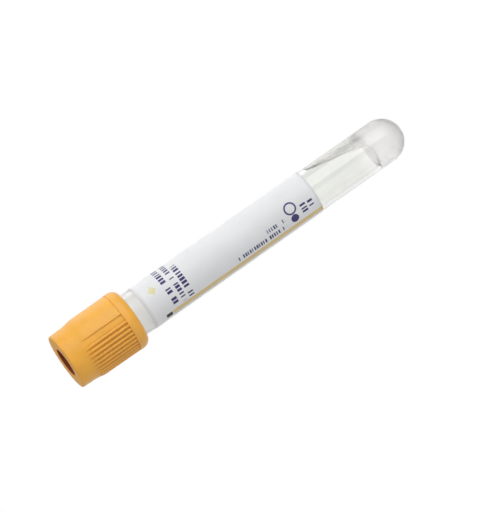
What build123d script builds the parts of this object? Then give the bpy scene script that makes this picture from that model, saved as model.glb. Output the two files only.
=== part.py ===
from build123d import *
import os
from math import atan2, cos, degrees, radians, sin

# Blood collection tube, standing on its pull-off safety closure, round end up.
#
# Every piece is drawn the other way up, on the tube's own axis: Z runs from the outside of the
# closed end, at 0, to the open rim and on through the closure. standing_place() then turns the
# assembly over, so that the closure's end face lies on the plane Z = 0. Angles about the axis
# are in degrees from the front, the side that faces -Y, counted towards the left side, -X.
# All lengths are in millimetres.

# Tube: one clear injection moulding. Its round closed end goes over into a straight barrel,
# which racks and inserts hold, and above that the wall is drafted out to the rim.
tube_length = 100.0
tube_rim_radius = 6.22
tube_end_radius = 6.10
tube_straight_length = 23.0
tube_wall = 0.95
tube_end_wall = 1.00
tube_rim_rounding = 0.30

# Clearances between pieces.
skirt_clearance = 1.13
plug_clearance = 0.05
head_clearance = 0.05
stopper_neck_clearance = 0.05
glue_gap = 0.01
gel_gap = 0.02

# Closure shield: the plastic cap that covers the rubber and hangs round the tube's mouth.
# Its radii step outwards from the skirt's bore, and its depths run down from its top face.
shield_height = 21.3
shield_above_rim = 9.25
top_over_skirt = 0.63
top_rounding = 0.40
neck_over_skirt = 0.71
neck_depth = 3.30
body_top_over_skirt = 1.21
body_top_depth = 7.90
body_over_skirt = 1.25
collar_over_skirt = 1.30
collar_depth = 18.20
collar_straight = 1.00
lip_over_skirt = 0.27
skirt_lead_in = 0.20
top_plate = 1.20
needle_hole_radius = 4.05
needle_hole_rounding = 0.25
ledge_thickness = 1.00
ledge_above_rim = 0.40

# Grip: two recessed bands of raised ribs on opposite sides of the shield.
grip_recess = 0.42
grip_angle = 108.6
grip_centre_angle = -39.8
rib_count = 10
rib_pitch_angle = 8.35
rib_width = 0.80
rib_height = 0.40

# Stopper: rubber, held by its head in the shield, with a plug that closes the tube.
stopper_seat_on_rim = 0.53
head_over_neck = 0.70
plug_depth = 7.80
plug_end_rounding = 0.60
well_mouth_step = 0.05
well_narrowing = 1.00
well_depth = 5.00
well_floor_rounding = 1.20
recess_radius = 3.30
recess_depth = 6.30
recess_rounding = 0.80

# Label: one film wrapped round the tube, with a bare strip left between its two edges.
label_height = 54.8
label_below_shield = 3.30
label_thickness = 0.08
label_bare_strip_angle = 24.0
label_bare_strip_centre = -85.8

# Separator gel: fills the round end and climbs one side of the bore as a thinning tongue.
gel_depth = 9.40
gel_dip_radius = 12.90
gel_tongue_height = 26.0
gel_tongue_foot = 3.00
gel_tongue_tip = 0.45
gel_tongue_centre = 74.2


tube_rim_bore = tube_rim_radius - tube_wall
draft_start = tube_end_radius + tube_straight_length
draft_length = tube_length - draft_start

skirt_radius = tube_rim_radius + skirt_clearance
shield_top_radius = skirt_radius + top_over_skirt
neck_radius = skirt_radius + neck_over_skirt
body_top_radius = skirt_radius + body_top_over_skirt
body_radius = skirt_radius + body_over_skirt
collar_radius = skirt_radius + collar_over_skirt
lip_radius = skirt_radius + lip_over_skirt
grip_floor_radius = body_radius - grip_recess

shield_top = tube_length + shield_above_rim
shield_end = shield_top - shield_height
collar_top = shield_top - collar_depth
collar_arc_start = collar_top - collar_straight
ledge_bottom = tube_length + ledge_above_rim
ledge_top = ledge_bottom + ledge_thickness

stopper_neck_radius = tube_rim_bore + stopper_seat_on_rim
head_radius = stopper_neck_radius + head_over_neck
head_top = shield_top - top_plate
well_mouth_radius = needle_hole_radius + well_mouth_step
well_floor = head_top - well_depth
plug_end = tube_length - plug_depth
recess_top = plug_end + recess_depth

label_top = shield_end - label_below_shield
label_bottom = label_top - label_height


def tube_outer_radius(height):
    """Outside radius of the barrel at a height above the closed end."""
    share = max(0, height - draft_start) / draft_length
    return tube_end_radius + share * (tube_rim_radius - tube_end_radius)


def tube_bore_radius(height):
    """Inside radius of the barrel at a height above the closed end."""
    return tube_outer_radius(height) - tube_wall


def turned(outline, angle=360.0):
    """Solid of revolution about Z of a closed outline drawn as (radius, height)."""
    return revolve(Plane.XZ * make_face(outline), Axis.Z, angle)


def round_ended(radius_of, floor, top):
    """Solid with a round end at its floor, a side of the given radii and a flat top."""
    end_radius = radius_of(floor)
    equator = floor + end_radius
    dome = CenterArc((0, equator), end_radius, -90, 90)
    corners = [height for height in (equator, draft_start) if height < top]
    side = [(radius_of(height), height) for height in (*corners, top)]
    return turned([dome, Polyline(*side, (0, top), (0, floor))])


def bore_solid(gap, top):
    """The space inside the tube up to a height, made smaller all round by a gap."""
    return round_ended(lambda height: tube_bore_radius(height) - gap, tube_end_wall + gap, top)


def tube():
    """Clear tube with an even wall, a round closed end and a softened rim."""
    shell = round_ended(tube_outer_radius, 0, tube_length) - bore_solid(0, tube_length)
    rim_edges = shell.edges().group_by(Axis.Z)[-1]
    return fillet(rim_edges, tube_rim_rounding)


def shield_outline():
    """Half section of the shield: outer side, lip, skirt, ledge, head seat and needle hole."""
    neck_end = shield_top - neck_depth
    body_start = shield_top - body_top_depth
    flare_middle = ((neck_radius + body_top_radius) / 2, (neck_end + body_start) / 2)
    seat_radius = head_radius + head_clearance
    ledge_radius = stopper_neck_radius + stopper_neck_clearance
    side = [
        Line((needle_hole_radius, shield_top), (shield_top_radius, shield_top)),
        Line((shield_top_radius, shield_top), (neck_radius, neck_end)),
        TangentArc((neck_radius, neck_end), flare_middle, tangent=(0, -1)),
        TangentArc((body_top_radius, body_start), flare_middle, tangent=(0, 1)),
        Line((body_top_radius, body_start), (body_radius, collar_top)),
        Line((body_radius, collar_top), (collar_radius, collar_top)),
        Line((collar_radius, collar_top), (collar_radius, collar_arc_start)),
        TangentArc((collar_radius, collar_arc_start), (lip_radius, shield_end), tangent=(0, -1)),
    ]
    inside = Polyline(
        (lip_radius, shield_end),
        (skirt_radius + skirt_lead_in, shield_end),
        (skirt_radius, shield_end + skirt_lead_in),
        (skirt_radius, ledge_bottom),
        (ledge_radius, ledge_bottom),
        (ledge_radius, ledge_top),
        (seat_radius, ledge_top),
        (seat_radius, head_top),
        (needle_hole_radius, head_top),
        (needle_hole_radius, shield_top),
    )
    return [*side, inside]


def grip_cutter(centre_angle):
    """What is cut away between and beside the ribs of one grip band."""
    outer_radius = 2 * collar_radius
    start = centre_angle - grip_angle / 2
    floor_arc = CenterArc((0, 0), grip_floor_radius, start, grip_angle)
    outer_arc = CenterArc((0, 0), outer_radius, start, grip_angle)
    band = make_face([
        floor_arc,
        outer_arc,
        Line(floor_arc @ 0, outer_arc @ 0),
        Line(floor_arc @ 1, outer_arc @ 1),
    ])
    rib_radius = ((rib_width / 2) ** 2 + rib_height ** 2) / (2 * rib_height)
    rib_seat = grip_floor_radius + rib_height - rib_radius
    first = centre_angle - rib_pitch_angle * (rib_count - 1) / 2
    for number in range(rib_count):
        angle = radians(first + number * rib_pitch_angle)
        band -= Pos(rib_seat * cos(angle), rib_seat * sin(angle)) * Circle(rib_radius)
    return Pos(0, 0, collar_top) * extrude(band, collar_depth)


def closure_shield():
    """Safety shield with two ribbed grip bands, opposite each other."""
    shield = turned(shield_outline())
    top_edges = shield.edges().filter_by(GeomType.CIRCLE).group_by(Axis.Z)[-1]
    top_edges = top_edges.sort_by(lambda edge: edge.radius)
    shield = fillet(top_edges[:1], needle_hole_rounding)
    top_edges = shield.edges().filter_by(GeomType.CIRCLE).group_by(Axis.Z)[-1]
    top_edges = top_edges.sort_by(lambda edge: edge.radius)
    shield = fillet(top_edges[-1:], top_rounding)
    for centre_angle in (grip_centre_angle, grip_centre_angle + 180):
        shield -= grip_cutter(centre_angle)
    return shield


def rubber_stopper():
    """Stopper with a head, a neck that sits on the rim, a plug, a needle well and a recess."""
    outline = Polyline(
        (0, well_floor),
        (well_mouth_radius - well_narrowing, well_floor),
        (well_mouth_radius, head_top),
        (head_radius, head_top),
        (head_radius, ledge_top),
        (stopper_neck_radius, ledge_top),
        (stopper_neck_radius, tube_length),
        (tube_rim_bore - plug_clearance, tube_length),
        (tube_bore_radius(plug_end) - plug_clearance, plug_end),
        (recess_radius, plug_end),
        (recess_radius, recess_top),
        (0, recess_top),
        close=True,
    )
    stopper = turned([outline])
    rings = stopper.edges().filter_by(GeomType.CIRCLE)
    well_ring = rings.filter_by(lambda edge: abs(edge.center().Z - well_floor) < 0.01)
    stopper = fillet(well_ring, well_floor_rounding)
    rings = stopper.edges().filter_by(GeomType.CIRCLE)
    recess_ring = rings.filter_by(lambda edge: abs(edge.center().Z - recess_top) < 0.01)
    stopper = fillet(recess_ring, recess_rounding)
    rings = stopper.edges().filter_by(GeomType.CIRCLE).group_by(Axis.Z)[0]
    return fillet(rings.sort_by(lambda edge: edge.radius)[-1:], plug_end_rounding)


def wrap_label():
    """Film that follows the drafted barrel, open along a bare strip."""
    inner_bottom = tube_outer_radius(label_bottom) + glue_gap
    inner_top = tube_outer_radius(label_top) + glue_gap
    outline = Polyline(
        (inner_bottom, label_bottom),
        (inner_bottom + label_thickness, label_bottom),
        (inner_top + label_thickness, label_top),
        (inner_top, label_top),
        close=True,
    )
    covered = 360 - label_bare_strip_angle
    start = label_bare_strip_centre + label_bare_strip_angle / 2
    return Rot(0, 0, start) * turned([outline], covered)


def separator_gel():
    """Gel in the round end, with a dipped surface and a tongue up one side of the bore."""
    dip = Pos(0, 0, gel_depth + gel_dip_radius) * Sphere(gel_dip_radius)
    over_dip = Pos(0, 0, gel_depth + gel_dip_radius) * Cylinder(
        gel_dip_radius, tube_length, align=(Align.CENTER, Align.CENTER, Align.MIN))
    rise = gel_tongue_height - gel_depth
    across = 4 * tube_rim_radius
    lean = Rot(0, degrees(atan2(gel_tongue_foot - gel_tongue_tip, rise)), 0)
    tip_side = tube_bore_radius(gel_tongue_height) - gel_gap - gel_tongue_tip
    beside_tongue = Pos(tip_side, 0, gel_tongue_height) * lean * Box(
        across, across, 4 * rise, align=(Align.MAX, Align.CENTER, Align.CENTER))
    empty = (dip + over_dip) & (Rot(0, 0, gel_tongue_centre) * beside_tongue)
    return bore_solid(gel_gap, gel_tongue_height) - empty


def standing_place():
    """Where the pieces go so that the closure's end face lies on Z = 0, round end up."""
    return Pos(0, 0, shield_top) * Rot(0, 0, -90) * Rot(180, 0, 0)


pieces = {
    "tube": tube,
    "wrap_label": wrap_label,
    "separator_gel": separator_gel,
    "rubber_stopper": rubber_stopper,
    "closure_shield": closure_shield,
}

os.makedirs("parts", exist_ok=True)
standing = standing_place()
for name, make in pieces.items():
    export_step(standing * make(), f"parts/{name}.step")
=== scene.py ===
from functools import reduce
from math import asin, cos, degrees, pi, radians, sin

import bmesh
import bpy
from bpy.props import FloatProperty, FloatVectorProperty, IntProperty, PointerProperty
from bpy.types import Operator, Panel, PropertyGroup
from mathutils import Matrix, Vector


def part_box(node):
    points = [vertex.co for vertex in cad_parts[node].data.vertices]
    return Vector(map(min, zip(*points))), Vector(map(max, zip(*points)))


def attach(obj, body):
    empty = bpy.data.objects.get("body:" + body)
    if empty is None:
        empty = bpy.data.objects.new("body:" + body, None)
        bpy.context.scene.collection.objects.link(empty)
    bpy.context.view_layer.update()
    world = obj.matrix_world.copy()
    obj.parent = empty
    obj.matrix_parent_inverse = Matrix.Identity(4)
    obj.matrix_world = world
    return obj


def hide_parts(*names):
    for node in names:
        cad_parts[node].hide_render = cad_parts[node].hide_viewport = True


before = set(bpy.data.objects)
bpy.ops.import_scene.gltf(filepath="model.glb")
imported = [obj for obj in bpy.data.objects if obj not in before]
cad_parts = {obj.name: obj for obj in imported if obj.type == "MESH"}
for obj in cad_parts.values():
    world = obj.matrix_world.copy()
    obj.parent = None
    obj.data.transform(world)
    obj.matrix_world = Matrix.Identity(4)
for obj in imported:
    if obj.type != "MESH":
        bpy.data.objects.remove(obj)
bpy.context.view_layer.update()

bl_info = {
    "name": "Blood Collection Tube",
    "version": (1, 0, 0),
    "blender": (4, 5, 0),
    "location": "View3D > Sidebar > Sample Tube",
    "description": "Builds a clear sample tube with label, gel, stopper and pull-off closure",
    "category": "Object",
}

# The tube stands on its closure: Z = 0 is the closure's end face and the round closed end is on
# top. Angles about the axis start at the front, -Y, and count towards the left side, -X.
MM = 0.001
WHITE = (1.0, 1.0, 1.0)
BLACK = (0.0, 0.0, 0.0)

# Edges that bend by more than this stay sharp.
CREASE = radians(50)
GEL_CREASE = radians(70)
SHIELD_CREASE = radians(40)
# Points closer together than this become one, which closes seams and poles.
MERGE_DISTANCE = 0.002 * MM
FULL_TURN = {"Start": 0.0, "Sweep": 2 * pi}
# Steps round the axis. The shield's follow from its ribs.
TUBE_SEGMENTS = 192
LABEL_SEGMENTS = 180
GEL_SEGMENTS = 128
STOPPER_SEGMENTS = 144

END_FACE_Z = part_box("closure_shield")[0][2]
SKIRT_END_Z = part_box("closure_shield")[1][2]
RIM_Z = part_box("tube")[0][2]
CLOSED_END_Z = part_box("tube")[1][2]
LABEL_LOW_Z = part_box("wrap_label")[0][2]
LABEL_HIGH_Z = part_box("wrap_label")[1][2]
HEAD_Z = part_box("rubber_stopper")[0][2]
PLUG_END_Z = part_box("rubber_stopper")[1][2]

# Rows of printed dashes. Low and high edge are millimetres over the end face, start and end are
# degrees about the axis. A row runs round the barrel or up it, with one dash to each pitch in
# millimetres. The seed draws the dashes' widths, and the last number is the share left out.
DASH_ROWS = (
    (31.6, 33.2, -46, 90, "round", 1.05, 3.0, 0.16),
    (34.2, 35.6, -46, 90, "round", 0.95, 17.0, 0.20),
    (36.3, 37.9, -46, 49, "round", 1.0, 41.0, 0.14),
    (52.5, 68.5, -45, -34, "up", 0.72, 5.0, 0.22),
    (62.8, 68.5, -27, -17, "up", 0.72, 29.0, 0.10),
    (73.9, 75.6, -35, -10, "round", 1.0, 11.0, 0.0),
    (76.2, 77.7, -33, -12, "round", 1.15, 23.0, 0.0),
)
# The printed ring and spot: height, angle, outside radius and inside radius.
ROUND_MARKS = ((71.3, -6, 1.75, 1.3), (71.3, -34, 1.15, 0.0))
# The bar and the long stripe: low and high edge, start and end.
BAR = (28.5, 30.4, -66, -52)
STRIPE = (30.7, 90.0, -66, -51)
# The small diamond: height, angle, and half its height and width in millimetres.
DIAMOND = (28.7, 23, 1.2, 1.4)

# The soft square lamps: where each stands, the height it points at and its side, in metres.
LAMPS = {
    "key": ((-0.46, -0.50, 0.22), CLOSED_END_Z / 2, 0.70),
    "fill": ((0.48, -0.42, 0.20), CLOSED_END_Z / 2, 1.20),
    "low": ((-0.45, -0.30, -0.25), 0.0, 0.80),
    "back": ((-0.62, 0.40, 0.10), CLOSED_END_Z / 2, 0.50),
}


def length(name, description, millimetres):
    """A length setting, given in millimetres and kept in metres."""
    return FloatProperty(name=name, description=description, default=millimetres * MM,
                         min=0, precision=5, unit="LENGTH")


def angle(name, description, turn):
    """An angle setting, given in degrees and kept in radians."""
    return FloatProperty(name=name, description=description, default=radians(turn),
                         unit="ROTATION")


def colour(name, description, *channels):
    """A colour setting in linear light."""
    return FloatVectorProperty(name=name, description=description, default=channels, size=3,
                               min=0, max=1, subtype="COLOR")


class TubeSettings(PropertyGroup):
    rim_radius: length("Rim radius", "Outside radius of the barrel at the open rim", 6.22)
    end_radius: length("End radius", "Outside radius of the round closed end", 6.10)
    straight: length("Straight barrel", "Barrel without draft next to the round end", 23.0)
    wall: length("Wall", "Thickness of the barrel's wall", 0.95)
    end_wall: length("End wall", "Thickness at the middle of the round end", 1.00)
    rim_rounding: length("Rim rounding", "Radius of the rim's two edges", 0.30)
    gate_ring: length("Gate ring", "Radius of the ring that the mould's gate leaves", 1.05)
    tint: colour("Tint", "What the clear wall does to light", 0.985, 0.985, 0.98)
    coating: colour("Coating", "The dry coating inside, from stopper to gel", 0.87, 0.876, 0.852)
    coating_low: length("Coating start", "Height over the rim where the coating starts", 8.0)
    coating_high: length("Coating end", "Depth from the closed end where it fades out", 12.0)
    haze: colour("Haze", "The faintly cloudy band between closure and label", 0.98, 0.975, 0.96)


class LabelSettings(PropertyGroup):
    gap: length("Glue line", "Space between barrel and film", 0.01)
    film: length("Film", "Thickness of the film", 0.08)
    bare_strip: angle("Bare strip", "Angle left uncovered between the film's two edges", 24.0)
    bare_centre: angle("Bare strip centre", "Where the uncovered strip is", -85.8)
    film_colour: colour("Film colour", "Plain film", 0.815, 0.83, 0.89)
    back_colour: colour("Back colour", "The film's glued side", 0.96, 0.96, 0.96)
    ink: colour("Ink", "Dashes, ring and spot", 0.022, 0.012, 0.13)
    black_ink: colour("Black ink", "The bar near the closure", 0.006, 0.006, 0.01)
    stripe: colour("Stripe", "Long stripe beside the bare strip", 0.70, 0.50, 0.22)
    mark: colour("Mark", "Small diamond near the closure", 0.78, 0.66, 0.22)


class GelSettings(PropertyGroup):
    wetting: length("Wetting", "Depth of the gel's skin in the wall, so that no air shows", 0.02)
    depth: length("Depth", "Height of the gel in the middle, from the closed end", 9.40)
    dip_radius: length("Dip radius", "Radius of the hollow surface", 12.90)
    tongue_height: length("Tongue height", "How far the tongue climbs the bore", 28.0)
    tongue_foot: length("Tongue foot", "Thickness of the tongue where it starts", 3.00)
    tongue_tip: length("Tongue tip", "Thickness of the tongue at its end", 0.16)
    corner: length("Corner", "How softly the surface goes over into the tongue", 20.0)
    tongue_centre: angle("Tongue side", "Side of the bore that the tongue climbs", 74.2)
    body_colour: colour("Gel colour", "Milky gel", 0.992, 0.974, 0.964)
    bubbles: IntProperty(name="Bubbles", description="Small bubbles caught in the gel",
                         default=14, min=0)
    smallest: length("Smallest bubble", "Radius of the smallest bubble", 0.10)
    largest: length("Largest bubble", "Radius of the largest bubble", 0.26)


class StopperSettings(PropertyGroup):
    head_radius: length("Head radius", "Disc held inside the shield", 6.50)
    head_height: length("Head height", "Thickness of the disc", 6.65)
    neck_radius: length("Neck radius", "Part that seats on the rim", 5.80)
    plug_clearance: length("Plug clearance", "Space between plug and bore", 0.05)
    plug_rounding: length("Plug rounding", "Radius of the plug's leading edge", 0.60)
    well_mouth: length("Well mouth", "Radius of the needle well at its mouth", 4.10)
    well_foot: length("Well floor radius", "Radius of the needle well at its floor", 3.10)
    well_depth: length("Well depth", "Depth of the needle well", 5.00)
    well_rounding: length("Well rounding", "Radius of the corner at the well's floor", 1.20)
    recess_radius: length("Recess radius", "Hollow on the tube side", 3.30)
    recess_depth: length("Recess depth", "Depth of the hollow", 6.30)
    recess_rounding: length("Recess rounding", "Radius of the corner in the hollow", 0.80)
    rubber: colour("Rubber", "Butyl rubber", 0.22, 0.036, 0.008)
    dust: colour("Dust", "Fine dust on the rubber", 0.42, 0.22, 0.16)


class ShieldSettings(PropertyGroup):
    hole_radius: length("Hole radius", "Needle hole", 4.05)
    hole_rounding: length("Hole rounding", "Edge of the needle hole", 0.25)
    face_radius: length("Face radius", "Outside radius at the end face", 7.98)
    face_rounding: length("Face rounding", "Edge of the end face", 0.40)
    neck_radius: length("Neck radius", "Where the flare starts", 8.06)
    neck_height: length("Neck height", "Height of the flare's start", 3.30)
    shoulder_radius: length("Shoulder radius", "Where the flare ends", 8.56)
    shoulder_height: length("Shoulder height", "Height of the flare's end", 7.90)
    body_radius: length("Body radius", "Under the collar", 8.60)
    collar_radius: length("Collar radius", "Collar at the skirt's end", 8.65)
    collar_height: length("Collar height", "Height of the collar's start", 18.20)
    collar_straight: length("Collar band", "Straight part of the collar", 1.00)
    collar_groove: length("Collar groove", "Depth of the fine groove at the collar's foot", 0.12)
    lip_radius: length("Lip radius", "Outside of the skirt's lip", 7.62)
    skirt_radius: length("Skirt bore", "Inside of the skirt", 7.35)
    skirt_lead: length("Lead-in", "Chamfer inside the lip", 0.20)
    ledge_radius: length("Ledge bore", "Ledge that holds the stopper", 5.85)
    ledge_low: length("Ledge height", "Height of the ledge's stopper side", 7.85)
    ledge_high: length("Ledge top", "Height of the ledge's tube side", 8.85)
    seat_radius: length("Seat radius", "Seat of the stopper's head", 6.55)
    plate: length("End plate", "Thickness of the end plate", 1.20)
    grip_floor: length("Grip floor", "Radius of the grip's floor", 8.18)
    grip_angle: angle("Grip angle", "Angle that one grip band covers", 108.6)
    grip_centre: angle("Grip centre", "Middle of the first grip band", -39.8)
    rib_count: IntProperty(name="Ribs", description="Ribs in one grip band", default=10, min=1)
    rib_pitch: angle("Rib pitch", "Angle from rib to rib", 8.35)
    rib_width: length("Rib width", "Width of a rib at its foot", 0.80)
    rib_height: length("Rib height", "Height of a rib over the floor", 0.40)
    plastic: colour("Plastic", "Gold moulded plastic", 0.79, 0.38, 0.037)
    # Painted shade: the plastic darkened for the grip's grooves and the shield's inside, where
    # light hardly reaches.
    shaded_plastic: colour("Deep plastic", "The same plastic where light hardly reaches", 0.52, 0.185, 0.004)
    rubbed: colour("Rubbed plastic", "Where hands wear the crests", 1.0, 0.80, 0.52)
    # Painted shade in the needle hole, with a painted red bounce from the rubber.
    hole_shade: colour("Hole", "Inside the needle hole, red with the rubber's colour",
                       0.30, 0.045, 0.004)


class StageSettings(PropertyGroup):
    floor_size: length("Floor", "Side of the square floor", 2400)
    floor_colour: colour("Floor colour", "Plain pale floor", 0.88, 0.88, 0.88)
    soft_light: FloatProperty(name="Soft light", description="Level of the even light all round",
                              default=0.56, min=0)
    key_power: FloatProperty(name="Key lamp", description="Power of the main soft lamp",
                             default=2.4, min=0, unit="POWER")
    fill_power: FloatProperty(name="Fill lamp", description="Power of the lamp opposite",
                              default=0.8, min=0, unit="POWER")
    low_power: FloatProperty(name="Low lamp", description="Power of the lamp under the end face",
                             default=1.4, min=0, unit="POWER")
    back_power: FloatProperty(name="Back lamp", description="Power of the lamp behind",
                              default=0.6, min=0, unit="POWER")
    lens: FloatProperty(name="Lens", description="Focal length", default=399.0, unit="CAMERA")
    distance: length("Camera distance", "From the camera to the point it looks at", 1500)
    elevation: angle("Camera elevation", "Up from the level of the point it looks at", -9.8)
    roll: angle("Camera roll", "Turn of the camera about its own view", 55.0)
    aim_height: length("Aim height", "Height of the point that the camera looks at", 54.84)
    aim_aside: length("Aim aside", "How far right of the axis the camera looks", 3.9)


class SampleTube(PropertyGroup):
    tube: PointerProperty(name="Tube", description="The clear tube", type=TubeSettings)
    label: PointerProperty(name="Label", description="The printed film", type=LabelSettings)
    gel: PointerProperty(name="Gel", description="Gel and bubbles", type=GelSettings)
    stopper: PointerProperty(name="Stopper", description="The rubber stopper",
                             type=StopperSettings)
    shield: PointerProperty(name="Shield", description="The gold shield", type=ShieldSettings)
    stage: PointerProperty(name="Stage", description="Floor, light and camera",
                           type=StageSettings)


class Value:
    """A socket of a node tree, with which sums are written as on plain numbers."""

    def __init__(self, board, socket):
        self.board = board
        self.socket = socket

    def out(self, name):
        """Another output of the same node."""
        return Value(self.board, self.socket.node.outputs[name])

    def maths(self, operation, *others):
        return self.board.maths(operation, self, *others)

    def __add__(self, other):
        return self.maths("ADD", other)

    __radd__ = __add__

    def __sub__(self, other):
        return self.maths("SUBTRACT", other)

    def __rsub__(self, other):
        return self.board.maths("SUBTRACT", other, self)

    def __mul__(self, other):
        return self.maths("MULTIPLY", other)

    __rmul__ = __mul__

    def __truediv__(self, other):
        return self.maths("DIVIDE", other)

    def __rtruediv__(self, other):
        return self.board.maths("DIVIDE", other, self)

    def __mod__(self, other):
        return self.maths("FLOORED_MODULO", other)

    def __gt__(self, other):
        return self.maths("GREATER_THAN", other)

    def __lt__(self, other):
        return self.maths("LESS_THAN", other)

    def __neg__(self):
        return self.maths("MULTIPLY", -1.0)

    def __abs__(self):
        return self.maths("ABSOLUTE")

    def most(self, other):
        return self.maths("MAXIMUM", other)

    def least(self, other):
        return self.maths("MINIMUM", other)

    def root(self):
        return self.most(0.0).maths("SQRT")

    def sine(self):
        return self.maths("SINE")

    def cosine(self):
        return self.maths("COSINE")

    def whole(self):
        return self.maths("FLOOR")

    def rise(self, start, end, low=0.0, high=1.0, kind="SMOOTHSTEP"):
        """Goes from low to high while this value goes from start to end."""
        return self.board.put("ShaderNodeMapRange", {"interpolation_type": kind},
                              {0: self, 1: start, 2: end, 3: low, 4: high})

    def vary(self, low, high):
        """Noise, which mostly lies from 0.3 to 0.7, taken to values from low to high."""
        return self.rise(0.3, 0.7, low, high)

    def within(self, start, end, soft):
        """1 between start and end, with soft edges."""
        return self.rise(start - soft, start + soft) * self.rise(end + soft, end - soft)


class Board:
    """A node tree and the one way to put a node into it."""

    def __init__(self, tree):
        self.tree = tree

    def put(self, kind, settings=None, links=None, output=0):
        """Adds a node, sets its settings, then sets or links its sockets by name or number."""
        node = self.tree.nodes.new(kind)
        for name, setting in (settings or {}).items():
            setattr(node, name, setting)
        for name, given in (links or {}).items():
            socket = node.inputs[name]
            if isinstance(given, Value):
                self.tree.links.new(given.socket, socket)
            elif socket.type == "RGBA" and len(given) == 3:
                socket.default_value = (*given, 1.0)
            else:
                socket.default_value = given
        return Value(self, node.outputs[output]) if len(node.outputs) else node

    def maths(self, operation, *terms):
        return self.put("ShaderNodeMath", {"operation": operation}, dict(enumerate(terms)))

    def mix(self, share, a, b, blend="MIX"):
        """Colour a, going over to colour b with share."""
        return self.put("ShaderNodeMix", {"data_type": "RGBA", "blend_type": blend},
                        {0: share, 6: a, 7: b}, output=2)

    def vector(self, operation, a, b):
        return self.put("ShaderNodeVectorMath", {"operation": operation}, {0: a, 1: b})

    def join(self, x, y, z):
        return self.put("ShaderNodeCombineXYZ", None, {0: x, 1: y, 2: z})

    def split(self, vector):
        """The three parts of a vector."""
        parts = self.put("ShaderNodeSeparateXYZ", None, {0: vector})
        return [parts.out(axis) for axis in "XYZ"]

    def noise(self, place, per_mm, detail=2.0, roughness=0.5, stretch=(1.0, 1.0, 1.0)):
        """Noise from 0 to 1 with so many grains to the millimetre."""
        if stretch != (1.0, 1.0, 1.0):
            place = self.vector("MULTIPLY", place, stretch)
        return self.put("ShaderNodeTexNoise", None,
                        {"Vector": place, "Scale": per_mm / MM, "Detail": detail,
                         "Roughness": roughness})

    def bump(self, height, depth_mm, strength=1.0, normal=None):
        """A normal that follows a height from 0 to 1, which stands for so many millimetres."""
        links = {"Height": height, "Distance": depth_mm * MM, "Strength": strength}
        if normal is not None:
            links["Normal"] = normal
        return self.put("ShaderNodeBump", None, links)


def empty_board(owner):
    """The emptied node tree of a material or a world."""
    owner.use_nodes = True
    owner.node_tree.nodes.clear()
    return Board(owner.node_tree)


def new_material(name, **sockets):
    """A material with one Principled shader, whose constants are set on its own sockets."""
    material = bpy.data.materials.new(name)
    board = empty_board(material)
    place = board.put("ShaderNodeTexCoord", output="Object")
    shader = board.put("ShaderNodeBsdfPrincipled", None,
                       {socket.replace("_", " "): given for socket, given in sockets.items()})
    board.put("ShaderNodeOutputMaterial", None, {"Surface": shader})
    return material, board, place, shader.socket.node


def feed(board, node, **values):
    """Links values into a shader's sockets."""
    for name, value in values.items():
        board.tree.links.new(value.socket, node.inputs[name.replace("_", " ")])


def tone(board, shade, factor):
    """A colour made lighter or darker by a factor that changes over the surface."""
    grey = board.put("ShaderNodeCombineColor", None, {0: factor, 1: factor, 2: factor})
    return board.mix(1.0, shade, grey, "MULTIPLY")


def gold_plastic(s):
    """Satin moulded plastic, paler where hands rub it, with painted shade in the grip's grooves,
    inside the shield and in the needle hole.
    """
    material, board, place, shader = new_material(
        "gold_moulded_plastic", Roughness=0.4, IOR=1.49, Specular_IOR_Level=0.42,
        Subsurface_Weight=0.08, Subsurface_Radius=(1.0, 0.45, 0.16), Subsurface_Scale=0.3 * MM,
        Sheen_Weight=0.06, Sheen_Roughness=0.5, Sheen_Tint=(1.0, 0.92, 0.80))
    x, y, z = board.split(place)
    radius = (x * x + y * y).root()
    cloud = board.noise(place, 0.22, 3.0)
    grain = board.noise(place, 5.0, 2.0, 0.6)
    fine = board.noise(place, 16.0, 1.0)
    flow = board.noise(place, 0.9, 2.0, stretch=(1.0, 1.0, 0.12))

    # Painted shade in the grooves between the ribs: fading in over the neck and ending at the
    # collar.
    first_groove = s.neck_height + 0.9 * MM
    full_groove = s.neck_height + 2.6 * MM
    grip = (z.rise(first_groove, full_groove)
            * z.rise(s.collar_height + 0.1 * MM, s.collar_height - 0.1 * MM))
    turn = board.maths("ARCTAN2", -x, -y) - s.grip_centre
    lean = abs((turn + pi / 2) % pi - pi / 2)
    among_ribs = lean < s.rib_count * s.rib_pitch / 2
    valley = abs((lean / s.rib_pitch + s.rib_count / 2) % 1.0 - 0.5).rise(0.24, 0.42)
    outer_side = radius > s.body_radius - 0.8 * MM
    groove = grip * among_ribs * valley * outer_side

    # Crests that hands rub; painted shade inside the shield, and a darker, redder painted shade on
    # the needle hole's wall.
    rubbed = s.body_radius - 0.10 * MM
    crest = radius.rise(rubbed, s.body_radius) * grain.rise(0.42, 0.66)
    hollow = radius.rise(s.skirt_radius + 0.05 * MM, s.skirt_radius - 0.05 * MM)
    inside = hollow * z.rise(0.0, s.hole_rounding * 0.7)
    near_hole = radius.rise(s.hole_radius + 0.5 * MM, s.hole_radius + 0.2 * MM)
    hole_shadow = inside * near_hole

    # The grooves and the shield's inside take painted shade.
    shade = board.mix((groove * 0.8).most(inside), s.plastic, s.shaded_plastic)
    # The needle hole's wall takes a darker, redder painted shade.
    shade = board.mix(hole_shadow, shade, s.hole_shade)
    shade = board.mix(crest * 0.09, shade, s.rubbed)
    shade = tone(board, shade, cloud.vary(0.955, 1.03) * grain.rise(0.2, 0.8, 0.98, 1.015))
    roughness = (grain.vary(0.35, 0.45) + cloud.vary(-0.03, 0.04)
                 - crest * 0.05 + hole_shadow * 0.2)
    normal = board.bump(flow, 0.02, 0.5, board.bump(grain * 0.7 + fine * 0.3, 0.012))
    feed(board, shader, Base_Color=shade, Roughness=roughness, Normal=normal)
    return material


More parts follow.
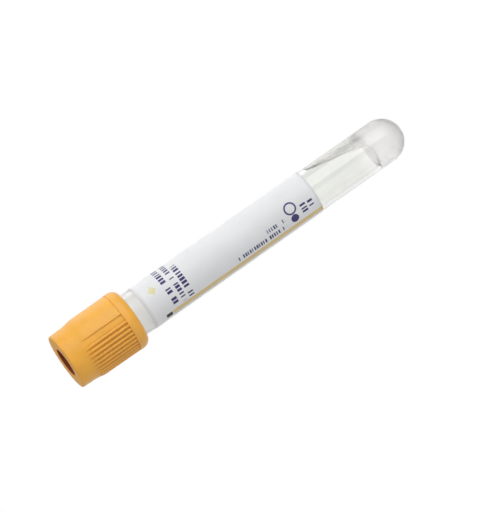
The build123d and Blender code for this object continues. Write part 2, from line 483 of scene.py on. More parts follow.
def dark_rubber(s):
    """Matte rubber with fine dust and a slight bloom."""
    material, board, place, shader = new_material(
        "dark_rubber", Roughness=0.7, IOR=1.5, Specular_IOR_Level=0.25,
        Sheen_Weight=0.04, Sheen_Roughness=0.5)
    cloud = board.noise(place, 0.35, 3.0)
    dust = board.noise(place, 7.0, 2.0, 0.7)
    speck = dust.rise(0.66, 0.74)
    shade = tone(board, s.rubber, cloud.vary(0.8, 1.25))
    shade = board.mix(speck * 0.25, shade, s.dust)
    roughness = cloud.vary(0.58, 0.74) + speck * 0.1
    normal = board.bump(dust, 0.02, 0.8)
    feed(board, shader, Base_Color=shade, Roughness=roughness, Normal=normal)
    return material


def wall_noises(board, place):
    """The flow lines along the tube's wall and the slow clouding over it."""
    flow = board.noise(place, 0.5, 2.0, stretch=(1.0, 1.0, 0.04))
    haze = board.noise(place, 0.15, 3.0)
    return board.bump(flow, 0.02, 0.4), haze


def clear_plastic(s):
    """Clear injection-moulded wall with faint flow lines along its length."""
    material, board, place, shader = new_material(
        "clear_plastic", Roughness=0.03, IOR=1.5, Transmission_Weight=1.0)
    height = board.split(place)[2]
    low_edge = RIM_Z + s.coating_low
    high_edge = CLOSED_END_Z - s.coating_high
    coated = (height.rise(low_edge - 0.25 * MM, low_edge + 0.25 * MM)
              * height.rise(high_edge + 3.0 * MM, high_edge - 3.0 * MM))
    normal, haze = wall_noises(board, place)
    scuff = board.noise(place, 3.0, 3.0, 0.7, (1.0, 1.0, 0.3)).rise(0.62, 0.78)
    slant = board.put("ShaderNodeLayerWeight", None, {"Blend": 0.35}, "Facing")
    edge = slant.rise(0.25, 1.0, 0.0, 0.13) * (coated * 0.6 + 0.4)
    shade = tone(board, board.mix(coated, s.tint, s.coating),
                 haze.vary(0.985, 1.0) - scuff * 0.02 - edge)
    roughness = haze.vary(0.05, 0.09) + scuff * 0.05
    feed(board, shader, Base_Color=shade, Roughness=roughness, Normal=normal)
    return material


def hazy_plastic(s):
    """The same wall where it is faintly cloudy, between closure and label."""
    material, board, place, shader = new_material(
        "hazy_plastic", Roughness=0.30, IOR=1.5, Transmission_Weight=0.75)
    normal, haze = wall_noises(board, place)
    shade = tone(board, s.haze, haze.vary(0.97, 1.0))
    roughness = haze.vary(0.27, 0.33)
    feed(board, shader, Base_Color=shade, Roughness=roughness, Normal=normal)
    return material


def milky_gel(s):
    """Milky gel: cloudy inside, wet on its surface, and clearer where its tongue is thin."""
    material, board, place, shader = new_material(
        "milky_gel", Roughness=0.25, IOR=1.4, Transmission_Weight=0.92,
        Subsurface_Weight=0.6, Subsurface_Radius=(1.0, 0.9, 0.8), Subsurface_Scale=2.0 * MM)
    cloud = board.noise(place, 0.18, 3.0, 0.6)
    streak = board.noise(place, 0.7, 2.0, stretch=(1.0, 1.0, 0.3))
    shade = tone(board, s.body_colour, cloud.vary(0.985, 1.01) - streak.rise(0.5, 0.8) * 0.015)
    thick_to = CLOSED_END_Z - 9.5 * MM
    thin_from = CLOSED_END_Z - 19.5 * MM
    thin = board.split(place)[2].rise(thick_to, thin_from)
    roughness = cloud.vary(0.34, 0.46) * (1.0 - thin * 0.72)
    normal = board.bump(streak, 0.04, 0.4)
    feed(board, shader, Base_Color=shade, Roughness=roughness, Normal=normal)
    return material


def printed_film(s, barrel_radius):
    """Satin film with a stripe, a diamond, rows of dashes and two plain shapes in ink; its glued
    side glows as painted light.
    """
    # Emission Strength sets how bright the glued side's painted glow is.
    material, board, place, shader = new_material(
        "printed_film", Roughness=0.45, IOR=1.47, Specular_IOR_Level=0.45,
        Subsurface_Weight=1.0, Subsurface_Radius=WHITE, Subsurface_Scale=0.35 * MM,
        Emission_Strength=0.42)
    x, y, z = board.split(place)
    height = z / MM
    turn = board.maths("ARCTAN2", -x, -y)
    across = turn * (barrel_radius / MM)
    per_degree = radians(1.0) * barrel_radius / MM
    soft = 0.05

    def patch(low, high, start, end):
        """A plain rectangle: heights in millimetres, angles in degrees."""
        return (height.within(low, high, soft)
                * across.within(start * per_degree, end * per_degree, soft))

    def dashes(along, pitch, seed, gaps):
        """Short dashes of even pitch and uneven width, some of them left out."""
        position = along / pitch + seed
        number = position.whole()
        part = position - number
        chance = board.put("ShaderNodeTexWhiteNoise", {"noise_dimensions": "1D"}, {"W": number})
        other = board.put("ShaderNodeTexWhiteNoise", {"noise_dimensions": "1D"},
                          {"W": number + 0.5})
        width = other.out("Value") * 0.42 + 0.34
        dash = part.rise(0.05, 0.19) * part.rise(width + 0.21, width + 0.07)
        return dash * (chance.out("Value") > gaps)

    def disc(middle_height, middle_turn, outer, inner):
        """A round spot, or a ring if it has an inner radius."""
        up = height - middle_height
        side = across - middle_turn * per_degree
        reach = (up * up + side * side).root()
        spot = reach.rise(outer + soft, outer - soft)
        return spot * reach.rise(inner - soft, inner + soft) if inner else spot

    ways = {"up": height, "round": across}
    rows = [patch(low, high, start, end) * dashes(ways[way], pitch, seed, gaps)
            for low, high, start, end, way, pitch, seed, gaps in DASH_ROWS]
    ink = reduce(Value.most, [*rows, *(disc(*mark) for mark in ROUND_MARKS)])
    bar = patch(*BAR)
    stripe = patch(*STRIPE)
    middle, side, half_height, half_width = DIAMOND
    diamond = (abs(height - middle) / half_height
               + abs(across - side * per_degree) / half_width).rise(1.06, 0.94)

    paper = board.noise(place, 0.12, 3.0)
    grain = board.noise(place, 4.0, 2.0, 0.6)
    worn = grain.rise(0.25, 0.45)
    shade = tone(board, s.film_colour, paper.vary(0.975, 1.015))
    shade = board.mix(stripe * grain.rise(0.1, 0.5, 0.86, 1.0), shade, s.stripe)
    shade = board.mix(diamond * 0.75, shade, s.mark)
    shade = board.mix(ink * worn.rise(0.0, 1.0, 0.88, 1.0), shade, s.ink)
    shade = board.mix(bar, shade, s.black_ink)
    back = board.put("ShaderNodeAttribute", {"attribute_name": "back"}, output="Fac")
    shade = board.mix(back, shade, s.back_colour)
    # Painted light: the glued side glows white, standing in for light that comes through the film;
    # it is no lamp.
    painted_glow = board.mix(back, BLACK, WHITE)
    roughness = grain.vary(0.40, 0.50) - ink.most(stripe) * 0.08
    wrinkle = board.noise(place, 0.25, 2.0, stretch=(1.0, 1.0, 0.35))
    normal = board.bump(wrinkle, 0.10, 0.35, board.bump(grain, 0.006))
    feed(board, shader, Base_Color=shade, Roughness=roughness, Normal=normal,
         Emission_Color=painted_glow)
    return material


def air_bubble():
    """What a bubble in the gel looks like: a bright skin round nothing."""
    material, board, place, shader = new_material(
        "air_bubble", Roughness=0.05, IOR=1.33, Transmission_Weight=1.0)
    grain = board.noise(place, 2.0)
    shade = tone(board, WHITE, grain.rise(0.2, 0.8, 0.94, 1.0))
    roughness = grain.rise(0.2, 0.8, 0.02, 0.10)
    feed(board, shader, Base_Color=shade, Roughness=roughness)
    return material


def arc(centre, radius, start, end, steps, skip_first=False):
    """Points of a circular arc in a section, with angles in degrees from the radius's side."""
    turns = [radians(start + (end - start) * n / steps) for n in range(int(skip_first), steps + 1)]
    return [(centre[0] + radius * cos(t), centre[1] + radius * sin(t)) for t in turns]


def line(start, end, steps):
    """Evenly spaced points from start up to but not including end."""
    return [(start[0] + (end[0] - start[0]) * n / steps,
             start[1] + (end[1] - start[1]) * n / steps) for n in range(steps)]


def section_object(name, points, closed=False, **marks):
    """The half section of a turned piece as a chain of edges, with a number for each point."""
    mesh = bpy.data.meshes.new(name)
    if closed:
        points = [*points, points[0]]
        marks = {mark: [*numbers, numbers[0]] for mark, numbers in marks.items()}
    edges = [(n, n + 1) for n in range(len(points) - 1)]
    mesh.from_pydata([(radius, 0.0, height) for radius, height in points], edges, [])
    for mark, numbers in marks.items():
        mesh.attributes.new(mark, "FLOAT", "POINT").data.foreach_set("value", numbers)
    piece = bpy.data.objects.new(name, mesh)
    bpy.context.scene.collection.objects.link(piece)
    return piece


def new_tree(name, geometry, number, sizes):
    """A Geometry Nodes tree with named inputs, and the board and the inputs that go with it."""
    tree = bpy.data.node_groups.new(name, "GeometryNodeTree")
    kinds = {geometry: "Geometry", number: "Int", **dict.fromkeys(sizes, "Float"),
             "Material": "Material"}
    for label, kind in kinds.items():
        tree.interface.new_socket(label, in_out="INPUT", socket_type=f"NodeSocket{kind}")
    tree.interface.new_socket("Piece", in_out="OUTPUT", socket_type="NodeSocketGeometry")
    board = Board(tree)
    return tree, board, board.put("NodeGroupInput")


def turning_tree(name, sizes=(), rule=None, spread=None):
    """Geometry Nodes that turn a half section about the axis, bent on the way by a rule."""
    tree, board, given = new_tree(name, "Section", "Segments", ("Start", "Sweep", "Crease", *sizes))
    section = given.out("Section")
    segments = given.out("Segments")

    rows = board.put("GeometryNodeAttributeDomainSize", {"component": "MESH"},
                     {"Geometry": section}, "Point Count")
    columns = segments + 1
    grid = board.put("GeometryNodeMeshGrid", None,
                     {"Size X": 1.0, "Size Y": 1.0, "Vertices X": rows, "Vertices Y": columns})
    index = board.put("GeometryNodeInputIndex")
    row = ((index + 0.5) / columns).whole()
    column = index - row * columns

    def sampled(kind, value):
        """A value of the section's point that this row of the grid stands for."""
        return board.put("GeometryNodeSampleIndex", {"data_type": kind, "domain": "POINT"},
                         {"Geometry": section, "Value": value, "Index": row})

    def mark(name):
        """One of the section's own marks, read in the same way."""
        field = board.put("GeometryNodeInputNamedAttribute", {"data_type": "FLOAT"},
                          {"Name": name})
        return sampled("FLOAT", field)

    radius, _, height = board.split(
        sampled("FLOAT_VECTOR", board.put("GeometryNodeInputPosition")))
    if spread:
        turn = spread(given, column)
    else:
        turn = given.out("Start") + given.out("Sweep") * column / segments
    if rule:
        radius, height = rule(given, mark, radius, height, turn, column)
    place = board.join(-radius * turn.sine(), -radius * turn.cosine(), height)
    geometry = board.put("GeometryNodeSetPosition", None, {"Geometry": grid, "Position": place})
    geometry = board.put("GeometryNodeMergeByDistance", None,
                         {"Geometry": geometry, "Distance": MERGE_DISTANCE})
    geometry = board.put("GeometryNodeSetShadeSmooth", {"domain": "FACE"},
                         {"Geometry": geometry, "Shade Smooth": True})
    bend = board.put("GeometryNodeInputMeshEdgeAngle")
    geometry = board.put("GeometryNodeSetShadeSmooth", {"domain": "EDGE"},
                         {"Geometry": geometry, "Selection": bend > given.out("Crease"),
                          "Shade Smooth": False})
    finish_tree(board, geometry, given.out("Material"))
    return tree


def finish_tree(board, geometry, material):
    """Ends a tree with real geometry and its material."""
    geometry = board.put("GeometryNodeRealizeInstances", None, {"Geometry": geometry})
    geometry = board.put("GeometryNodeSetMaterial", None,
                         {"Geometry": geometry, "Material": material})
    board.put("NodeGroupOutput", None, {0: geometry})


def run_tree(piece, tree, inputs):
    """Puts a tree on an object with its inputs and leaves the result as the object's mesh."""
    modifier = piece.modifiers.new(tree.name, "NODES")
    modifier.node_group = tree
    for item in tree.interface.items_tree:
        if item.in_out == "INPUT" and item.name in inputs:
            modifier[item.identifier] = inputs[item.name]
    settle(piece)


def settle(piece):
    """Replaces an object's mesh and modifiers by the finished plain mesh."""
    graph = bpy.context.evaluated_depsgraph_get()
    mesh = bpy.data.meshes.new_from_object(piece.evaluated_get(graph), depsgraph=graph)
    old = piece.data
    piece.modifiers.clear()
    piece.data = mesh
    mesh.name = piece.name
    if old.users == 0:
        bpy.data.meshes.remove(old)


def face_outwards(piece):
    """Turns a closed piece's faces outwards."""
    shell = bmesh.new()
    shell.from_mesh(piece.data)
    bmesh.ops.recalc_face_normals(shell, faces=shell.faces)
    shell.to_mesh(piece.data)
    shell.free()


def hand_over(piece, body, slot, *nodes):
    """Parents a piece to the empty of the body it rides on and hides the CAD parts it stands for.
    """
    if not piece.data.polygons:
        raise RuntimeError(f"{piece.name} came out empty")
    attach(piece, body)
    if nodes:
        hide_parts(*nodes)


def bubble_tree():
    """Geometry Nodes that scatter small spheres in a ring between two heights."""
    tree, board, given = new_tree("gel_bubbles", "Start", "Count",
                                  ("Smallest", "Largest", "Inner", "Outer", "Low", "High"))

    def chance(low, high, seed):
        """A different number for each sphere, always the same for one seed."""
        node = board.put("FunctionNodeRandomValue", {"data_type": "FLOAT"}, {"Seed": seed})
        return low + (high - low) * node.out(1)

    points = board.put("GeometryNodePoints", None, {"Count": given.out("Count")})
    turn = chance(0.0, 2 * pi, 3)
    reach = chance(given.out("Inner"), given.out("Outer"), 11)
    height = chance(given.out("Low"), given.out("High"), 23)
    place = board.join(-reach * turn.sine(), -reach * turn.cosine(), height)
    points = board.put("GeometryNodeSetPosition", None, {"Geometry": points, "Position": place})
    bead = board.put("GeometryNodeMeshIcoSphere", None, {"Radius": 1.0, "Subdivisions": 3})
    bead = board.put("GeometryNodeSetShadeSmooth", {"domain": "FACE"},
                     {"Geometry": bead, "Shade Smooth": True})
    size = chance(given.out("Smallest"), given.out("Largest"), 41)
    spheres = board.put("GeometryNodeInstanceOnPoints", None,
                        {"Points": points, "Instance": bead,
                         "Scale": board.join(size, size, size)})
    finish_tree(board, spheres, given.out("Material"))
    return tree


def barrel_outer(tube, height):
    """Outside radius of the barrel at a height above the closure's end face."""
    drafted = CLOSED_END_Z - RIM_Z - tube.end_radius - tube.straight
    share = (CLOSED_END_Z - height - tube.end_radius - tube.straight) / drafted
    return tube.end_radius + max(0.0, share) * (tube.rim_radius - tube.end_radius)


class SAMPLETUBE_OT_tube(Operator):
    """Make the clear tube with its round end, drafted wall and softened rim"""

    bl_idname = "sampletube.tube"
    bl_label = "Clear Tube"

    def execute(self, context):
        s = context.scene.sample_tube.tube
        top = CLOSED_END_Z
        draft = top - s.end_radius - s.straight
        rounding = s.rim_rounding
        bore_end = s.end_radius - s.wall
        bore_rim = s.rim_radius - s.wall
        dome_steps = 36
        draft_steps = 20
        short_steps = 6
        ring_depth = 0.06 * MM
        ring_reach = 0.35 * MM
        dome = arc((0.0, top - s.end_radius), s.end_radius, 90, 0, dome_steps)
        for n, (radius, height) in enumerate(dome):
            dip = ring_depth * max(0.0, 1.0 - abs(radius - s.gate_ring) / ring_reach)
            dome[n] = (radius, height - dip)
        inner_middle = top - s.end_wall - bore_end
        under_dome = top - s.end_radius - 2 * MM
        over_rim = RIM_Z + rounding
        points = [
            *dome,
            *line((s.end_radius, under_dome), (s.end_radius, draft), short_steps),
            *line((s.end_radius, draft), (s.rim_radius, over_rim), draft_steps),
            *arc((s.rim_radius - rounding, over_rim), rounding, 0, -90, short_steps),
            *arc((bore_rim + rounding, over_rim), rounding, -90, -180, short_steps),
            *line((bore_rim, over_rim + 1 * MM), (bore_end, draft), draft_steps),
            *line((bore_end, draft), (bore_end, inner_middle), short_steps),
            *arc((0.0, inner_middle), bore_end, 0, 90, dome_steps),
        ]
        points[0] = (0.0, points[0][1])
        points[-1] = (0.0, points[-1][1])
        piece = section_object("tube_shell", points)
        run_tree(piece, turning_tree("turned_tube"),
                 {**FULL_TURN, "Segments": TUBE_SEGMENTS, "Crease": CREASE,
                  "Material": clear_plastic(s)})
        face_outwards(piece)
        self.cloud_band(piece, s)
        hand_over(piece, "tube_body", "clear_plastic", "tube")
        return {"FINISHED"}

    def cloud_band(self, piece, s):
        """Gives the outer wall its cloudy band, which ends just inside skirt and label."""
        low = SKIRT_END_Z - 1.2 * MM
        high = LABEL_LOW_Z + 1.0 * MM
        middle_of_wall = s.rim_radius - s.wall / 2
        piece.data.materials.append(hazy_plastic(s))
        hazy = len(piece.data.materials) - 1
        for face in piece.data.polygons:
            if face.center.xy.length > middle_of_wall and low < face.center.z < high:
                face.material_index = hazy


class SAMPLETUBE_OT_label(Operator):
    """Make the printed film round the barrel, open along its bare strip"""

    bl_idname = "sampletube.label"
    bl_label = "Wrap Label"

    def execute(self, context):
        tube = context.scene.sample_tube.tube
        s = context.scene.sample_tube.label
        skin = s.gap + s.film
        low = (barrel_outer(tube, LABEL_LOW_Z) + skin, LABEL_LOW_Z)
        high = (barrel_outer(tube, LABEL_HIGH_Z) + skin, LABEL_HIGH_Z)
        piece = section_object("label_film", [*line(low, high, 40), high])
        run_tree(piece, turning_tree("turned_label"),
                 {"Segments": LABEL_SEGMENTS, "Start": s.bare_centre + s.bare_strip / 2,
                  "Sweep": 2 * pi - s.bare_strip, "Crease": CREASE,
                  "Material": printed_film(s, tube.rim_radius)})
        film = piece.modifiers.new("film", "SOLIDIFY")
        film.thickness = s.film
        film.offset = 1.0
        film.use_even_offset = True
        settle(piece)
        face_outwards(piece)
        back = piece.data.attributes.new("back", "FLOAT", "FACE")
        back.data.foreach_set("value", [float(face.normal.xy.dot(face.center.xy) < 0)
                                        for face in piece.data.polygons])
        hand_over(piece, "tube_body", "label_film", "wrap_label")
        return {"FINISHED"}


class SAMPLETUBE_OT_gel(Operator):
    """Make the separator gel with its tongue, and the bubbles caught in it"""

    bl_idname = "sampletube.gel"
    bl_label = "Separator Gel"

    def execute(self, context):
        tube = context.scene.sample_tube.tube
        s = context.scene.sample_tube.gel
        top = CLOSED_END_Z
        side = tube.end_radius - tube.wall + s.wetting
        middle = top - tube.end_wall - tube.end_radius + tube.wall
        dome_steps = 28
        wall_steps = 40
        surface_steps = 60
        dome = arc((0.0, middle), side, 90, 0, dome_steps)
        wall = [(side, middle)] * wall_steps
        surface = [(side * (1.0 - n / surface_steps), middle) for n in range(surface_steps + 1)]
        dome[0] = surface[-1] = (0.0, dome[0][1])
        follow = [0.0] * len(dome)
        follow += [(n + 1) / wall_steps for n in range(wall_steps)]
        follow += [1.0] * len(surface)
        piece = section_object("gel_body", [*dome, *wall, *surface], follow=follow)

        def rule(given, mark, radius, height, turn, column):
            """Draws the section down to the gel's hollow surface or, on one side, its tongue."""
            depth = given.out("Depth")
            dip = given.out("Dip radius")
            hollow = depth + dip - (dip * dip - radius * radius).root()
            lean = turn - given.out("Tongue side")
            towards = radius * lean.cosine()
            beside = radius * lean.sine()
            tip = given.out("Tongue height")
            tongue = tip - (given.out("Tip side") - towards).most(0.0) * given.out("Slope")
            tongue = tongue - beside * beside * given.out("Fall aside")
            level = hollow.maths("SMOOTH_MAX", tongue, given.out("Corner")).least(tip)
            share = mark("follow")
            return radius, height + (top - level - height) * share

        sizes = {
            "Depth": s.depth, "Dip radius": s.dip_radius, "Tongue height": s.tongue_height,
            "Corner": s.corner, "Tip side": side - s.tongue_tip, "Tongue side": s.tongue_centre,
            "Slope": (s.tongue_height - s.depth) / (s.tongue_foot - s.tongue_tip),
            "Fall aside": 0.55 / MM,
        }
        run_tree(piece, turning_tree("turned_gel", sizes, rule),
                 {**FULL_TURN, **sizes, "Segments": GEL_SEGMENTS, "Crease": GEL_CREASE,
                  "Material": milky_gel(s)})
        face_outwards(piece)
        hand_over(piece, "tube_body", "gel", "separator_gel")

        inner = side * 0.62
        outer = side - 0.42 * MM
        lowest = top - s.depth + 0.9 * MM
        bubbles = section_object("gel_bubbles", [(0.0, middle)])
        run_tree(bubbles, bubble_tree(),
                 {"Count": s.bubbles, "Smallest": s.smallest, "Largest": s.largest,
                  "Inner": inner, "Outer": outer, "Low": lowest, "High": middle,
                  "Material": air_bubble()})
        hand_over(bubbles, "tube_body", "gel")
        return {"FINISHED"}


class SAMPLETUBE_OT_stopper(Operator):
    """Make the rubber stopper with its needle well, head, neck, plug and hollow"""

    bl_idname = "sampletube.stopper"
    bl_label = "Rubber Stopper"

    def execute(self, context):
        tube = context.scene.sample_tube.tube
        s = context.scene.sample_tube.stopper
        well_floor = HEAD_Z + s.well_depth
        head_end = HEAD_Z + s.head_height
        plug_rim = tube.rim_radius - tube.wall - s.plug_clearance
        plug_foot = barrel_outer(tube, PLUG_END_Z) - tube.wall - s.plug_clearance
        recess_floor = PLUG_END_Z - s.recess_depth
        ease = 0.15 * MM
        ring_depth = 0.12 * MM
        foot_draft = 0.16 * MM
        well = s.well_rounding
        plug = s.plug_rounding
        hollow = s.recess_rounding
        points = [
            (0.0, well_floor),
            (0.5 * MM, well_floor),
            (0.7 * MM, well_floor - ring_depth),
            (0.95 * MM, well_floor - ring_depth),
            (1.15 * MM, well_floor),
            *arc((s.well_foot - well + foot_draft, well_floor - well), well, 90, 8, 10),
            (s.well_mouth - ease * 0.3, HEAD_Z + ease * 2),
            (s.well_mouth + ease * 0.4, HEAD_Z + ease * 0.5),
            (s.well_mouth + ease * 1.5, HEAD_Z),
            *arc((s.head_radius - ease, HEAD_Z + ease), ease, -90, 0, 4),
            *arc((s.head_radius - ease, head_end - ease), ease, 0, 90, 4),
            (s.neck_radius, head_end),
            *arc((s.neck_radius - ease, RIM_Z - ease), ease, 0, 90, 4),
            (plug_rim, RIM_Z),
            *line((plug_rim, RIM_Z + ease), (plug_foot, PLUG_END_Z - plug), 6),
            *arc((plug_foot - plug, PLUG_END_Z - plug), plug, 0, 90, 8),
            *arc((s.recess_radius + ease, PLUG_END_Z - ease), ease, 90, 180, 4),
            *line((s.recess_radius, PLUG_END_Z - 2 * ease),
                  (s.recess_radius, recess_floor + hollow), 4),
            *arc((s.recess_radius - hollow, recess_floor + hollow), hollow, 0, -90, 8),
            (0.0, recess_floor),
        ]
        piece = section_object("stopper", points)
        run_tree(piece, turning_tree("turned_stopper"),
                 {**FULL_TURN, "Segments": STOPPER_SEGMENTS, "Crease": CREASE,
                  "Material": dark_rubber(s)})
        face_outwards(piece)
        hand_over(piece, "closure", "dark_rubber", "rubber_stopper")
        return {"FINISHED"}


class SAMPLETUBE_OT_shield(Operator):
    """Make the gold shield with its needle hole, two ribbed grip bands, collar and skirt"""

    bl_idname = "sampletube.shield"
    bl_label = "Closure Shield"

    def execute(self, context):
        s = context.scene.sample_tube.shield
        points = []
        grip = []

        def go(rows, ribbed=0.0):
            """Carries the section on; ribbed rows are cut back to the grip's floor."""
            points.extend(rows)
            grip.extend([ribbed] * len(rows))

        # The end face and the slow flare up to the shoulder.
        hole = s.hole_rounding
        face = s.face_rounding
        go(arc((s.hole_radius + hole, hole), hole, 180, 270, 6))
        go(arc((s.face_radius - face, face), face, -90, 0, 8))
        over_edge = (s.face_radius + 0.02 * MM, 1.2 * MM)
        go(line(over_edge, (s.neck_radius, s.neck_height), 3))
        rise = (s.shoulder_height - s.neck_height) / 2
        step = (s.shoulder_radius - s.neck_radius) / 2
        bend = (rise * rise + step * step) / (2 * step)
        reach = degrees(asin(rise / bend))
        go(arc((s.neck_radius + bend, s.neck_height), bend, 180, 180 - reach, 16), 1.0)
        go(arc((s.shoulder_radius - bend, s.shoulder_height), bend, -reach, 0, 16, True), 1.0)

        # The straight body, the fine groove and the collar, which rounds in to the lip.
        groove = s.collar_groove
        go(line((s.shoulder_radius, s.shoulder_height + 1 * MM),
                (s.body_radius, s.collar_height - 2 * groove), 10), 1.0)
        go([(s.body_radius, s.collar_height - 2 * groove),
            (s.body_radius - groove, s.collar_height - groove),
            (s.body_radius - groove, s.collar_height)], 1.0)
        edge = 0.03 * MM
        go([(s.collar_radius - edge, s.collar_height)])
        go([(s.collar_radius, s.collar_height + edge)])
        collar_end = s.collar_height + s.collar_straight
        out = s.collar_radius - s.lip_radius
        fall = SKIRT_END_Z - collar_end
        curve = (out * out + fall * fall) / (2 * out)
        go(arc((s.collar_radius - curve, collar_end), curve, 0, degrees(asin(fall / curve)), 14))

        # The skirt's bore, the ledge, the seat of the stopper's head and the end plate.
        lead = s.skirt_lead
        ease = 0.05 * MM
        go([(s.lip_radius - edge, SKIRT_END_Z), (s.skirt_radius + lead, SKIRT_END_Z)])
        go([(s.skirt_radius + ease, SKIRT_END_Z - lead + ease)])
        go(line((s.skirt_radius, SKIRT_END_Z - lead), (s.skirt_radius, s.ledge_high), 6))
        corner = 0.3 * MM
        go(arc((s.skirt_radius - corner, s.ledge_high + corner), corner, 0, -90, 5))
        go([(s.ledge_radius, s.ledge_high), (s.ledge_radius, s.ledge_low)])
        go([(s.seat_radius, s.ledge_low), (s.seat_radius, s.plate), (s.hole_radius, s.plate)])
        piece = section_object("shield", points, closed=True, grip=grip)

        # Steps round one half of the shield: margin, ribs, margin, then the smooth part.
        per_rib = 12
        margin_steps = 18
        smooth_steps = 84
        ribbed_steps = s.rib_count * per_rib
        half_steps = margin_steps * 2 + ribbed_steps + smooth_steps
        ribbed = s.rib_count * s.rib_pitch
        margin = (s.grip_angle - ribbed) / 2
        rest = pi - s.grip_angle
        first_rib = margin_steps
        last_rib = first_rib + ribbed_steps
        band_end = last_rib + margin_steps

        def spread(given, column):
            """Where each column stands round the axis, close together in the grip."""
            half = ((column + 0.5) / half_steps).whole()
            part = column - half * half_steps
            turn = given.out("Grip centre") - given.out("Grip angle") / 2 + half * pi
            for start, end, turned in (
                    (0, first_rib, margin), (first_rib, last_rib, ribbed),
                    (last_rib, band_end, margin), (band_end, half_steps, rest)):
                turn = turn + part.rise(start, end, 0.0, turned, "LINEAR")
            return turn

        def rule(given, mark, radius, height, turn, column):
            """Cuts the grip bands back to their floor and leaves round-backed ribs on it."""
            part = column % half_steps
            in_band = (part > 0.5) * (part < band_end - 0.5)
            in_ribs = (part > first_rib - 0.5) * (part < last_rib + 0.5)
            place = (part - first_rib) % per_rib - per_rib / 2
            floor = given.out("Grip floor")
            half_width = given.out("Rib width") / 2
            aside = floor * given.out("Rib pitch") * place / per_rib / half_width
            rib = given.out("Rib height") * (1.0 - aside * aside).root() * in_ribs
            cut = radius.least(floor + rib)
            share = mark("grip") * in_band
            return radius + (cut - radius) * share, height

        sizes = {
            "Grip centre": s.grip_centre, "Grip angle": s.grip_angle, "Grip floor": s.grip_floor,
            "Rib pitch": s.rib_pitch, "Rib height": s.rib_height, "Rib width": s.rib_width,
        }
        run_tree(piece, turning_tree("turned_shield", sizes, rule, spread),
                 {**sizes, "Segments": 2 * half_steps, "Crease": SHIELD_CREASE,
                  "Material": gold_plastic(s)})
        face_outwards(piece)
        hand_over(piece, "closure", "gold_plastic", "closure_shield")
        return {"FINISHED"}


def soft_lamp(name, place, aim_height, side, power):
    """A square soft lamp at a place, turned towards a height on the axis."""
    data = bpy.data.lights.new(name, "AREA")
    data.shape = "SQUARE"
    data.size = side
    data.energy = power
    lamp = bpy.data.objects.new(name, data)
    towards = Vector((0.0, 0.0, aim_height)) - Vector(place)
    lamp.location = place
    lamp.rotation_euler = towards.to_track_quat("-Z", "Y").to_euler()
    bpy.context.scene.collection.objects.link(lamp)


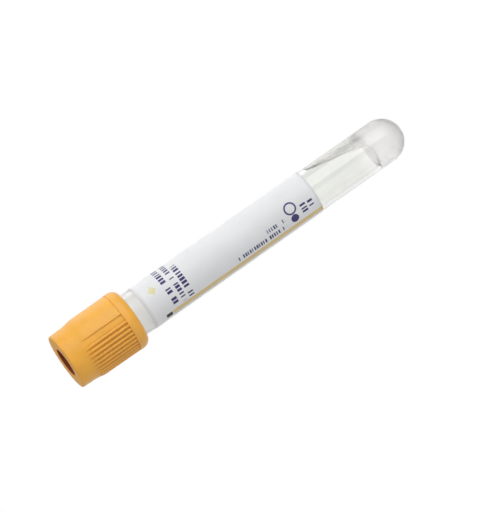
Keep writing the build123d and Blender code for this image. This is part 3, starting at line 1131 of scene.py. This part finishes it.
class SAMPLETUBE_OT_stage(Operator):
    """Make the pale floor, the soft studio light and the camera"""

    bl_idname = "sampletube.stage"
    bl_label = "Stage"

    def execute(self, context):
        s = context.scene.sample_tube.stage
        self.floor(s)
        self.light(context, s)
        self.camera(context, s)
        context.scene.view_settings.view_transform = "Standard"
        return {"FINISHED"}

    def floor(self, s):
        """A floor just under the end face that is seen only from above."""
        half = s.floor_size / 2
        under = END_FACE_Z - 0.2 * MM
        corners = [(-half, -half, under), (half, -half, under),
                   (half, half, under), (-half, half, under)]
        mesh = bpy.data.meshes.new("floor")
        mesh.from_pydata(corners, [], [(0, 1, 2, 3)])
        floor = bpy.data.objects.new("floor", mesh)
        bpy.context.scene.collection.objects.link(floor)
        floor.visible_shadow = False
        floor.visible_diffuse = False
        material = bpy.data.materials.new("pale_floor")
        board = empty_board(material)
        place = board.put("ShaderNodeTexCoord", output="Object")
        cloud = board.noise(place, 0.004, 3.0)
        shade = tone(board, s.floor_colour, cloud.vary(0.985, 1.0))
        lit = board.put("ShaderNodeBsdfPrincipled", None,
                        {"Base Color": shade, "Roughness": 0.8, "Specular IOR Level": 0.2})
        white = board.put("ShaderNodeEmission", None, {"Color": WHITE, "Strength": 1.0})
        far = board.put("ShaderNodeVectorMath", {"operation": "LENGTH"}, {0: place}, "Value")
        near = 50 * MM
        whiteness = far.rise(near, s.floor_size / 4, 0.3, 1.0)
        top = board.put("ShaderNodeMixShader", None, {0: whiteness, 1: lit, 2: white})
        under_side = board.put("ShaderNodeNewGeometry", output="Backfacing")
        clear = board.put("ShaderNodeBsdfTransparent")
        surface = board.put("ShaderNodeMixShader", None, {0: under_side, 1: top, 2: clear})
        board.put("ShaderNodeOutputMaterial", None, {"Surface": surface})
        mesh.materials.append(material)

    def light(self, context, s):
        """Even light all round with a white surround, and the soft lamps."""
        world = bpy.data.worlds.new("studio")
        board = empty_board(world)
        path = board.put("ShaderNodeLightPath", output="Is Camera Ray")
        seen = path.most(path.out("Is Glossy Ray")).most(path.out("Is Transmission Ray"))
        soft = board.put("ShaderNodeBackground", None,
                         {"Color": WHITE, "Strength": s.soft_light})
        white = board.put("ShaderNodeBackground", None, {"Color": WHITE, "Strength": 1.0})
        surround = board.put("ShaderNodeMixShader", None, {0: seen, 1: soft, 2: white})
        board.put("ShaderNodeOutputWorld", None, {"Surface": surround})
        context.scene.world = world
        for name, (stand, aim_height, side) in LAMPS.items():
            soft_lamp(f"{name}_lamp", stand, aim_height, side, getattr(s, f"{name}_power"))

    def camera(self, context, s):
        """A long lens under the closure's level, turned so that the tube slants."""
        data = bpy.data.cameras.new("camera")
        data.lens = s.lens
        data.clip_start = 10 * MM
        data.clip_end = 20000 * MM
        camera = bpy.data.objects.new("camera", data)
        context.scene.collection.objects.link(camera)
        aim = Vector((s.aim_aside, 0.0, s.aim_height))
        away = Vector((0.0, -cos(s.elevation), sin(s.elevation)))
        right = Vector((1.0, 0.0, 0.0))
        up = away.cross(right)
        rolled_right = cos(s.roll) * right + sin(s.roll) * up
        rolled_up = away.cross(rolled_right)
        turn = Matrix((rolled_right, rolled_up, away)).transposed()
        camera.matrix_world = Matrix.Translation(aim + away * s.distance) @ turn.to_4x4()
        context.scene.camera = camera


MAKERS = (SAMPLETUBE_OT_tube, SAMPLETUBE_OT_label, SAMPLETUBE_OT_gel, SAMPLETUBE_OT_stopper,
          SAMPLETUBE_OT_shield, SAMPLETUBE_OT_stage)


class SAMPLETUBE_PT_panel(Panel):
    """Sizes, colours and makers of the sample tube"""

    bl_idname = "SAMPLETUBE_PT_panel"
    bl_label = "Sample Tube"
    bl_space_type = "VIEW_3D"
    bl_region_type = "UI"
    bl_category = "Sample Tube"

    def draw(self, context):
        for name, maker in zip(SampleTube.__annotations__, MAKERS):
            box = self.layout.box()
            box.operator(maker.bl_idname)
            settings = getattr(context.scene.sample_tube, name)
            for key in settings.__annotations__:
                box.prop(settings, key)


CLASSES = (TubeSettings, LabelSettings, GelSettings, StopperSettings, ShieldSettings,
           StageSettings, SampleTube, *MAKERS, SAMPLETUBE_PT_panel)


def register():
    for each in CLASSES:
        bpy.utils.register_class(each)
    bpy.types.Scene.sample_tube = PointerProperty(
        name="Sample Tube", description="Everything that can be set", type=SampleTube)


def unregister():
    del bpy.types.Scene.sample_tube
    for each in reversed(CLASSES):
        bpy.utils.unregister_class(each)


def main():
    register()
    for make in (bpy.ops.sampletube.tube, bpy.ops.sampletube.label, bpy.ops.sampletube.gel,
                 bpy.ops.sampletube.stopper, bpy.ops.sampletube.shield, bpy.ops.sampletube.stage):
        make()


if __name__ == "__main__":
    main()
